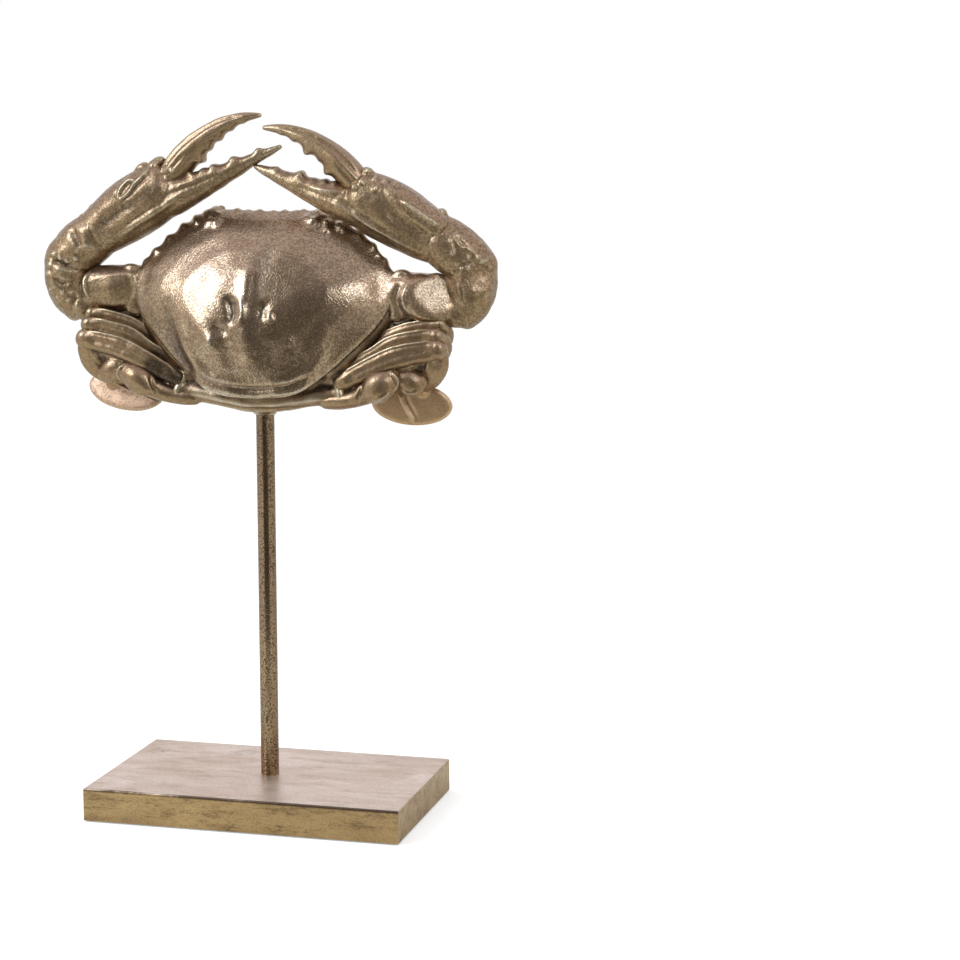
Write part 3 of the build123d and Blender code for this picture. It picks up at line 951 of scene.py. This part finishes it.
def make_flap():
    """Tail flap on the belly, in stepped segments."""
    clay = Clay()
    outline = [(-20, 14), *FLAP_HALF, *mirrored(LEFT, *FLAP_HALF[:0:-1])]
    clay.plate(outline, FLAP_LAYERS, FLAP_MID)
    clay.set(0.8, 1, swell=1)
    for v in FLAP_SEAMS:
        clay.press([(-18, v - 1), (0, v + 1), (18, v - 1)], 1.8, -1.0, face=BACK)
        clay.press([(-6, v + 4), (6, v + 4)], 3.0, 0.5, face=BACK)
    clay.cast("abdomen_flap", lean=True)


def make_eye(side, name):
    """Eye bead on its short stalk, in the orbit."""
    clay = Clay()
    clay.ball((side * 40.5, -28.5, 152.4), (3.8, 3.2, 2.6), side * 12)
    clay.ball((side * 39, -28, 150), (3.2, 3.0, 3.2), side * 20)
    clay.set(0.5, 1, swell=1)
    clay.cast(f"{name}_eye", lean=True)


def make_arm(side, name):
    """Claw's upper arm: a domed facet between raised rims, with a few blunt spines on top."""
    clay = Clay()
    low = -2.0 if side == RIGHT else 0.0
    clay.limb([(x, y, z + low, wide + 2.5, thick) for x, y, z, wide, thick in ARM])
    for x, z, size in ((97, 106, 3.8), (107, 108.5, 5.0), (121, 107.5, 3.6), (133, 107, 4.4)):
        clay.ball((x, 4, z + low * 0.6), (size * 1.5, size, size * 0.8), -8)
    clay.ball((150, 4, 78 + low), (6, 8, 7))
    clay.ball((104, 3, 79 + low), (9, 8, 7))
    clay.move(opposite(side))
    clay.set(0.75)
    if side == RIGHT:
        clay.facet((136, 89), 20.0, (0.35, 0.33), 0.92, 16)
        inner = [(116, 103), (112, 91), (115, 77)]
        outer = [(144, 104), (150, 93), (147, 76)]
        dome = 0.2
    else:
        clay.flatten((-128, 92), -5.0, (0.1, -0.05))
        inner = [(-107, 107), (-101.5, 94), (-106, 81)]
        outer = [(-138, 109), (-143, 98), (-139, 83)]
        dome = 1.8
    middle = (inner[1][0] + outer[1][0]) / 2
    clay.press([(middle, 92)], 14, dome)
    clay.press([(x - side * 6, z) for x, z in inner], 4.4, -1.6, fade=0.2)
    clay.press([(x + side * 4.5, z) for x, z in outer], 3.4, -1.8, fade=0.1)
    clay.face_out()
    clay.press(inner, 3.0, 1.3, fade=0.35)
    clay.press(outer, 2.8, 1.3, fade=0.35)
    if side == LEFT:
        clay.press([inner[-1], (middle, 77), outer[-1]], 3.0, -1.0)
    clay.ripple(9, 0.3)
    # The right arm takes a brighter, lit copy of the gold.
    clay.cast(f"{name}_claw_arm", finish=LIT_RIGHT_ARM_GOLD if side == RIGHT else CLAW_GOLD)


def make_wrist(side, name):
    """Rounded elbow and wrist, with wrinkles, a few tubercles and a knob at the top."""
    clay = Clay()
    clay.limb(ELBOW)
    clay.limb(WRIST)
    clay.ball((149, 6, 80), (14.0, 12.0, 13.0))
    clay.ball((138, 5, 153), (5.0, 5.0, 4.5), 30)
    clay.ball((146, 2, 146), (4.5, 5.0, 3.6), 40)
    for z in (82, 93, 120, 129):
        clay.ball((174.5 - abs(z - 102) * 0.3, 5, z), (3.2, 3.6, 3.4))
    clay.move(opposite(side))
    clay.set(0.8)
    if side == RIGHT:
        clay.facet((173, 103), 11.0, (0.354, 0.344), 0.88, 20)
        clay.press([(150, 113), (160, 118), (171, 116), (179, 112)], 4.0, -1.2)
        wrinkles = [
            [(150, 137), (157, 128)],
            [(152, 139), (162, 132)],
            [(149, 134), (151, 124)],
            [(158, 103), (160, 95), (158, 88)],
            [(154, 100), (156, 93)],
            [(160, 138), (169, 131)],
            [(157, 134), (167, 126)],
            [(163, 142), (172, 134)],
            [(159, 129), (170, 122)],
        ]
        spots = [(154, 116), (159, 119), (165, 117), (171, 118), (176, 114)]
        small = [(157, 113), (162, 121), (162, 113.5), (168, 121), (174, 119), (150, 110)]
        # Painted shade beside the elbow's facet.
        clay.paint_shade([(157, 101), (159, 89)], 4.5, 0.25)
    else:
        clay.grab((-132, 153), 5.0, (-2.0, 3.6))
        clay.press([(-168, 96)], 11, 1.8)
        clay.press([(-150, 108), (-160, 112), (-172, 118)], 4.0, -2.4)
        clay.press([(-151, 100), (-160, 97), (-168, 104)], 4.6, -2.2)
        clay.press([(-140, 120), (-147, 132), (-152, 140)], 4.2, -1.6)
        wrinkles = [[(-134, 150), (-137, 143), (-135, 136)], [(-128, 122), (-138, 126), (-150, 120)]]
        spots = [(-167, 119), (-161, 116), (-170, 111), (-172, 104)]
        spots += [(-155, 114), (-148, 116), (-133, 151), (-130, 143)]
        small = [(-160, 90), (-165, 86), (-156, 84), (-150, 80), (-170, 92), (-153, 90)]
    clay.face_out()
    for wrinkle in wrinkles:
        clay.press(wrinkle, 2.2, 0.7)
    clay.knobs(spots, 3.0, 1.2)
    clay.knobs(small, 2.4, 0.9)
    clay.ripple(8, 0.55)
    clay.ripple(3.4, 0.12)
    clay.cast(f"{name}_claw_wrist", finish=CLAW_GOLD)


def bite(clay, move, stations, edge, teeth):
    """Pulls blunt teeth out of a finger's lower or upper edge."""
    for along, wide, out in teeth:
        spots = along_limb(move, stations, (along, edge * 0.8), (along, 0.0))
        rim, middle = (Vector(spot) for spot in spots)
        clay.grab(rim, wide, (rim - middle).normalized() * out)
    clay.soothe(3)


def fixed_finger(side):
    """The fixed finger's stations, with its tip drawn out or in."""
    *near, (x, y, z, wide, thick) = FIXED_FINGER
    way = (Vector((x, y, z)) - Vector(near[-1][:3])).normalized() * FIXED_REACH[side]
    return (*near, (x + way.x, y + way.y, z + way.z, wide, thick))


def work_right_palm(clay):
    """The right palm's hollow panel, its long ridges and the knobs at the finger's root."""
    clay.press([(90, 164), (106, 152), (124, 139), (134, 133)], 7, -1.4)
    clay.press([(62, 160), (84, 146), (106, 134), (130, 121)], 3.6, 1.6)
    clay.press([(60, 165), (82, 151), (104, 139)], 3.2, -1.0)
    clay.face_out()
    clay.press([(112, 162.5), (127, 153), (141, 144)], 2.0, 1.8, fade=0.1)
    clay.press([(112, 158), (126, 149), (138, 141)], 3.2, -0.8)
    clay.knobs([(84, 184), (90, 178), (80, 176), (92, 171), (75, 172), (97, 176)], 3.2, 1.8)
    clay.press([(94, 182), (104, 173), (112, 168)], 2.4, -1.4)
    clay.press([(66, 168), (52, 169), (40, 171)], 3.0, 1.2)


def work_left_palm(clay, move):
    """The left palm's hollow panel, its ridges, the ring on its back and the knobs at the finger's root."""
    clay.press(along_limb(move, PALM, (0.2, 0.0), (0.5, 0.0), (0.9, 0.08)), 9, -2.0)
    # Painted shade in the hollow panel.
    clay.paint_shade(along_limb(move, PALM, (0.3, 0.0), (0.6, 0.0), (0.9, 0.08)), 9, 0.22)
    clay.press([(-118, 130), (-97, 143), (-74, 157), (-57, 170)], 3.6, 1.6)
    clay.press([(-116, 135), (-96, 148), (-74, 162)], 3.4, -1.2)
    clay.face_out()
    middle = Vector((-105, 169))
    half = Vector((5.8, 6.6))
    cross = Vector((-2.6, 2.3))
    turns = [math.radians(angle) for angle in range(0, 361, 30)]
    ring = [tuple(middle + half * math.cos(turn) + cross * math.sin(turn)) for turn in turns]
    clay.press(ring, 1.7, 1.2, fade=0)
    clay.press([(-110, 164), (-100, 175)], 2.4, -0.6)
    clay.press([(-100, 171), (-93, 178), (-86, 187)], 2.2, 1.6)
    clay.press([(-112, 160), (-103, 164), (-95, 173), (-86, 180)], 2.6, -1.4)
    clay.press([(-120, 158), (-110, 172), (-98, 182)], 2.6, 1.2)
    clay.knobs([(-74, 188), (-70, 183), (-78, 184)], 3.0, 2.0)
    clay.press([(-67, 184), (-60, 181), (-52, 179)], 2.2, 1.8)


def make_palm(side, name):
    """Palm with its ridges and hollow panels, and the fixed finger with its teeth."""
    clay = Clay()
    fixed = fixed_finger(side)
    clay.limb(PALM)
    clay.limb(fixed)
    clay.ball((84, 3, 184), (6.0, 6.5, 4.6), 28)
    clay.ball((74, 1, 177), (5.0, 7.0, 5.0))
    clay.ball((68, -1, 170), (4.4, 6.5, 4.0))
    move = raised(side)
    clay.move(move)
    if side == RIGHT:
        clay.limb(PALM_BACK)
    else:
        clay.ball((-98, 4, 184), (7.0, 5.0, 4.0), -38)
        clay.ball((-84, 4, 190), (6.0, 5.0, 3.6), -18)
        clay.ball((-72, 4, 184), (8.0, 10.0, 8.0))
    clay.set(0.75)
    bite(clay, move, fixed, 1, FIXED_TEETH[side])
    if side == RIGHT:
        work_right_palm(clay)
    else:
        work_left_palm(clay, move)
    clay.press(along_limb(move, fixed, (0.1, 0.15), (0.35, 0.1), (0.6, 0.05)), 3.2, -1.0)
    clay.ripple(10, 0.4)
    clay.soothe(1)
    clay.ripple(3.4, 0.1)
    clay.cast(f"{name}_claw_palm", finish=CLAW_GOLD)


def make_finger(side, name):
    """Moving finger: a smooth hook with one long groove near its back, and blunt teeth below."""
    clay = Clay()
    clay.limb(FINGER)
    move = raised(side) @ Matrix.Translation(FINGER_SHIFT[side])
    clay.move(move)
    clay.set(0.6)
    bite(clay, move, FINGER, -1, FINGER_TEETH[side])
    groove = along_limb(move, FINGER, (0.05, 0.55), (0.35, 0.55), (0.65, 0.5), (0.88, 0.4))
    clay.press(groove, 2.2, -0.9, fade=0.15)
    ridge = along_limb(move, FINGER, (0.05, 0.78), (0.35, 0.8), (0.65, 0.78), (0.88, 0.7))
    clay.press(ridge, 1.8, 0.5, fade=0.15)
    clay.press(along_limb(move, FINGER, (0.02, 0.0), (0.18, 0.0), (0.34, -0.05)), 2.6, -0.8)
    clay.press(along_limb(move, FINGER, (0.3, -0.35), (0.55, -0.4), (0.8, -0.4)), 3.0, 0.5)
    clay.knobs(along_limb(move, FINGER, (0.04, -0.6), (0.04, -0.1), (0.04, 0.5)), 3.0, 1.2)
    clay.ripple(9, 0.3)
    clay.cast(f"{name}_claw_finger")


def make_leg(side, node, thigh, ridges, lift):
    """Walking leg's thigh: a flat band with raised edges and a knuckle at the knee."""
    clay = Clay()
    stations = []
    for x, y, z, wide, thick in thigh:
        rise = min(max((x - KNEE_LIFT_FROM) / KNEE_LIFT_LONG, 0), 1)
        stations.append((x, y, z + lift * rise, wide, thick))
    clay.limb(stations)
    x, y, z, wide, thick = stations[-1]
    clay.ball((x + 1.0, y, z), (wide * 0.5, thick * 0.5, wide * 0.5))
    move = opposite(side)
    clay.move(move)
    clay.set(0.6)
    for across, wide, high in ridges:
        ridge = along_limb(move, stations, *((along, across) for along in (0.05, 0.35, 0.65, 1.0)))
        clay.press(ridge, wide, high, fade=0.1)
    # Painted shade at the thigh's inner end and under its lower edge.
    leg_shade = LEG_PAINTED_SHADE[side]
    clay.paint_shade(along_limb(move, stations, (0.0, 0.0), (0.1, 0.0), (0.24, 0.0)), 9.0, leg_shade)
    under = along_limb(move, stations, *((along, -0.95) for along in (0.05, 0.35, 0.65, 0.9)))
    clay.paint_shade(under, 3.4, leg_shade * 0.66)
    clay.ripple(9, 0.3)
    clay.ripple(3.4, 0.1)
    clay.cast(node)


def make_shin(side, node, stations):
    """Folded shin, smooth in front and pointed at its end."""
    clay = Clay()
    broad = stations is REAR_SHIN
    clay.limb(stations)
    if broad:
        clay.ball((121, -9, 41), (14, 5.5, 8), -20)
    move = opposite(side)
    clay.move(move)
    clay.set(0.6)
    for face in (FRONT, BACK):
        clay.press(along_limb(move, stations, (0.15, 0.3), (0.4, 0.3), (0.7, 0.3)), 1.8, 0.7, face)
    if broad:
        clay.press(mirrored(side, (126, 39), (124, 34)), 6.0, -1.8)
        # Painted shade in the hollow of the broad shin.
        clay.paint_shade(mirrored(side, (126, 41), (122, 36)), 6.0, 0.35)
    clay.ripple(7, 0.3)
    clay.cast(node)


def make_swim_thigh(side, name):
    """Swimming leg's plump thigh, with a raised seam round its end."""
    clay = Clay()
    clay.limb(SWIM_THIGH)
    if side == RIGHT:
        clay.ball((96, -17, 25), (16.0, 10.0, 12.5), -30)
    else:
        clay.ball((94, -17, 25), (18.0, 9.5, 10.5), -32)
    move = opposite(side)
    clay.move(move)
    clay.set(0.6)
    under = along_limb(move, SWIM_THIGH, (0.58, -0.8), (0.72, -0.86), (0.92, -0.86))
    clay.press(under, 1.7, 1.2, fade=0.15)
    clay.press(mirrored(side, (108, 22), (111, 30), (106, 37)), 1.7, 1.3, fade=0.15)
    clay.press(mirrored(side, (80, 14), (82, 22), (85, 31)), 2.2, -1.6)
    clay.press(mirrored(side, (94, 41), (87, 37), (80, 29)), 2.0, 1.2)
    # Painted shade at the thigh's inner end.
    clay.paint_shade(mirrored(side, (76, 24), (82, 33)), 4.0, 0.4)
    clay.ripple(10, 0.35)
    clay.ripple(3.4, 0.1)
    clay.cast(f"{name}_swim_thigh")


def make_swim_wrist(side, name):
    """Swimming leg's small wrist, between the thigh and the paddle."""
    clay = Clay()
    clay.limb(SWIM_WRIST)
    clay.ball((119, -12.5, 28) if side == RIGHT else (117.5, -12.5, 31.5), (12.0, 6.6, 10.0), 30)
    clay.ball((110, -13, 40), (12.5, 3.4, 5.4), -12)
    clay.move(opposite(side))
    clay.set(0.55)
    clay.press(mirrored(side, (112, 24), (119, 20), (127, 23)), 1.8, 0.9)
    clay.press(mirrored(side, (100, 42), (110, 45), (121, 40)), 1.6, 0.8)
    clay.ripple(7, 0.3)
    clay.ripple(3.4, 0.1)
    clay.cast(f"{name}_swim_wrist")


def make_paddle(side, name):
    """Flat oval paddle with a rib."""
    clay = Clay()
    clay.limb(PADDLE_NECK)
    long, wide, thick = PADDLE_HALF
    turn = Matrix.Rotation(math.radians(-PADDLE_TURN[side]), 4, "Y")
    tilt = Matrix.Rotation(math.radians(-PADDLE_TILT[side]), 4, "X")
    place = Matrix.Translation(PADDLE_LIFT[side]) @ Matrix.Translation(PADDLE_MID)
    blade = place @ tilt @ turn @ Matrix.Rotation(math.radians(90), 4, "X")
    rings = []
    for deep, share in ((-1, 0.80), (-0.7, 0.94), (0, 1.0), (0.7, 0.94), (1, 0.80)):
        oval = Matrix.Diagonal((long * share, wide * share, 1, 1))
        rings.append(blade @ Matrix.Translation((0, 0, deep * thick)) @ oval)
    clay.rings(rings, 40)
    clay.move(opposite(side))
    clay.set(0.6)
    rib = PADDLE_RIB[side]
    clay.press(rib, 1.6, 1.2, fade=0.15)
    clay.press([(x + 3.4, z + 1) for x, z in rib], 3.0, -0.6)
    clay.ripple(12, 0.25)
    clay.cast(f"{name}_swim_paddle", finish=PADDLE_GOLD[side])


def make_crab():
    """All the castings of the crab."""
    make_shell()
    make_body()
    make_flap()
    for side, name in SIDES:
        make_eye(side, name)
        make_arm(side, name)
        make_wrist(side, name)
        make_palm(side, name)
        make_finger(side, name)
        for leg, thigh, _, ridges, lift in LEGS:
            make_leg(side, f"{name}_{leg}_leg", thigh, ridges, lift[side])
        for leg, _, shin, _, _ in LEGS:
            make_shin(side, f"{name}_{leg}_shin", shin)
        make_swim_thigh(side, name)
        make_swim_wrist(side, name)
        make_paddle(side, name)


def dress(node, material):
    """Gives a kept CAD piece its finish."""
    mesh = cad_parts[node].data
    mesh.materials.clear()
    mesh.materials.append(material)


def dress_stand():
    """Finishes of the base, the rod and the hidden hardware."""
    dress("base_block", gold_board())
    dress("support_rod", gold_rod())
    dress("felt_sheet", black_felt())
    steel = plain_metal("plated_steel", colour(190, 190, 188), colour(150, 150, 150))
    for node in ("base_screw", "base_washer", "rod_foot_nut", "rod_head_spigot"):
        dress(node, steel)
    dress("crab_bush", plain_metal("turned_brass", colour(205, 170, 95), colour(165, 130, 70)))


def stage_piece(name, wide, high, where, turn, paint):
    """A flat stage piece, off the object."""
    sheet = bmesh.new()
    bmesh.ops.create_grid(sheet, x_segments=2, y_segments=2, size=0.5)
    mesh = bpy.data.meshes.new(name)
    sheet.to_mesh(mesh)
    sheet.free()
    mesh.materials.append(paint)
    piece = bpy.data.objects.new(name, mesh)
    piece.scale = (wide, high, 1)
    piece.location = where
    piece.rotation_euler = turn
    bpy.context.scene.collection.objects.link(piece)
    return piece


# Dark cards that only the gold mirrors: name, width, height, place and turn in degrees.
CURTAIN = ("front_curtain", 3.2, 4.2, (-0.05, -2.5, 2.05), -6)
CARDS = (("low_card", 0.62, 0.24, (0.12, -0.48, 0.12), 14), ("dark_gap", 0.7, 2.6, (-0.02, -2.4, 1.3), -6))
FLOOR_WIDE = 16
FLOOR_DROP = 0.0002


def stand_card(name, wide, high, where, turn, paint):
    """An upright card that is seen in mirrored light alone."""
    card = stage_piece(name, wide, high, where, (math.radians(90), 0, math.radians(turn)), paint)
    card.visible_camera = False
    card.visible_diffuse = False
    card.visible_shadow = False


def set_stage():
    """White floor, and the dark things that stand out of sight."""
    floor = Paint("white_floor")
    in_sight = floor.node("ShaderNodeLightPath", {}, {}, "Is Camera Ray")
    glow = floor.mix(in_sight, (0, 0, 0, 1), (0.3, 0.3, 0.3, 1))
    floor.done(Base_Color=(0.9, 0.9, 0.9, 1.0), Roughness=0.9, Emission_Color=glow, Emission_Strength=1.0)
    stage_piece("floor", FLOOR_WIDE, FLOOR_WIDE, (0, 0, -FLOOR_DROP), (0, 0, 0), floor.material)
    stand_card(*CURTAIN, Paint("dark_curtain").done(Base_Color=(0.24, 0.22, 0.2, 1.0), Roughness=1.0))
    black = Paint("dark_card").done(Base_Color=(0.05, 0.044, 0.04, 1.0), Roughness=1.0)
    for card in CARDS:
        stand_card(*card, black)


def set_world():
    """White all round, a little lower as the light that falls on the object."""
    world = bpy.data.worlds.new("studio")
    bpy.context.scene.world = world
    world.use_nodes = True
    tree = world.node_tree
    shown = tree.nodes["Background"]
    lit = tree.nodes.new("ShaderNodeBackground")
    for background, strength in ((shown, 1.0), (lit, 0.8)):
        background.inputs["Color"].default_value = (1, 1, 1, 1)
        background.inputs["Strength"].default_value = strength
    rays = tree.nodes.new("ShaderNodeLightPath")
    in_sight = rays.outputs["Is Camera Ray"]
    for kind in ("Is Glossy Ray", "Is Transmission Ray"):
        either = tree.nodes.new("ShaderNodeMath")
        either.operation = "MAXIMUM"
        tree.links.new(in_sight, either.inputs[0])
        tree.links.new(rays.outputs[kind], either.inputs[1])
        in_sight = either.outputs[0]
    blend = tree.nodes.new("ShaderNodeMixShader")
    tree.links.new(in_sight, blend.inputs["Fac"])
    tree.links.new(lit.outputs[0], blend.inputs[1])
    tree.links.new(shown.outputs[0], blend.inputs[2])
    tree.links.new(blend.outputs[0], tree.nodes["World Output"].inputs["Surface"])


LAMP_TINT = (0.86, 1.0, 1.12)


def softbox(name, where, aim, wide, high, shine):
    """A soft lamp of that brightness, aimed at a point."""
    lamp = bpy.data.lights.new(name, "AREA")
    lamp.shape = "RECTANGLE"
    lamp.size = wide
    lamp.size_y = high
    lamp.energy = shine * math.pi * wide * high
    lamp.color = LAMP_TINT
    box = bpy.data.objects.new(name, lamp)
    box.location = where
    box.rotation_euler = (Vector(aim) - Vector(where)).to_track_quat("-Z", "Y").to_euler()
    box.visible_camera = False
    bpy.context.scene.collection.objects.link(box)


def set_lights():
    """A large lamp on the left and a smaller one on the right, both high in front."""
    softbox("left_softbox", (-1.14, -1.15, 1.37), (0, 0, 0.4), 0.6, 0.96, 12.0)
    softbox("right_softbox", (0.76, -1.21, 1.24), (0.08, 0, 0.4), 0.44, 0.56, 7.4)


CAMERA_PLACE = (0.59425, -1.70175, 0.53675)
CAMERA_WAY = (-0.2397, 0.9586, -0.1537)
LENS_LONG = 89.02
SENSOR_WIDE = 36.0


def set_camera():
    """The photo's camera, right of the middle and a little above."""
    lens = bpy.data.cameras.new("camera")
    lens.lens = LENS_LONG
    lens.sensor_width = SENSOR_WIDE
    lens.clip_end = 50.0
    camera = bpy.data.objects.new("camera", lens)
    camera.location = CAMERA_PLACE
    camera.rotation_euler = Vector(CAMERA_WAY).to_track_quat("-Z", "Y").to_euler()
    bpy.context.scene.collection.objects.link(camera)
    bpy.context.scene.camera = camera
    bpy.context.scene.view_settings.view_transform = "Standard"


SHELL_GOLD = antique_gold("shell_gold", gloss=0.23, relief=0.22, pepper=0.5, tone=1.02, coat=0.85)
# A lit copy of the gold, painted brighter than the claws' for the right arm's lamp-lit facet.
LIT_RIGHT_ARM_GOLD = antique_gold("arm_gold", gloss=0.3, relief=0.2, pepper=0.42, tone=1.08, coat=0.85)
CLAW_GOLD = antique_gold("claw_gold", gloss=0.34, relief=0.2, pepper=0.4, tone=0.98, coat=0.18)
LIMB_GOLD = antique_gold("limb_gold", gloss=0.33, relief=0.14, pepper=0.2, tone=0.99, coat=0.2)
# The left paddle carries much more of the painted mauve sheen than the right.
PADDLE_GOLD = {
    RIGHT: antique_gold("right_paddle_gold", gloss=0.44, relief=0.16, pepper=0.2, tone=1.3, painted_sheen=0.1),
    LEFT: antique_gold("left_paddle_gold", gloss=0.5, relief=0.18, pepper=0.3, tone=1.3, painted_sheen=0.6),
}
make_crab()
dress_stand()
set_stage()
set_world()
set_lights()
set_camera()
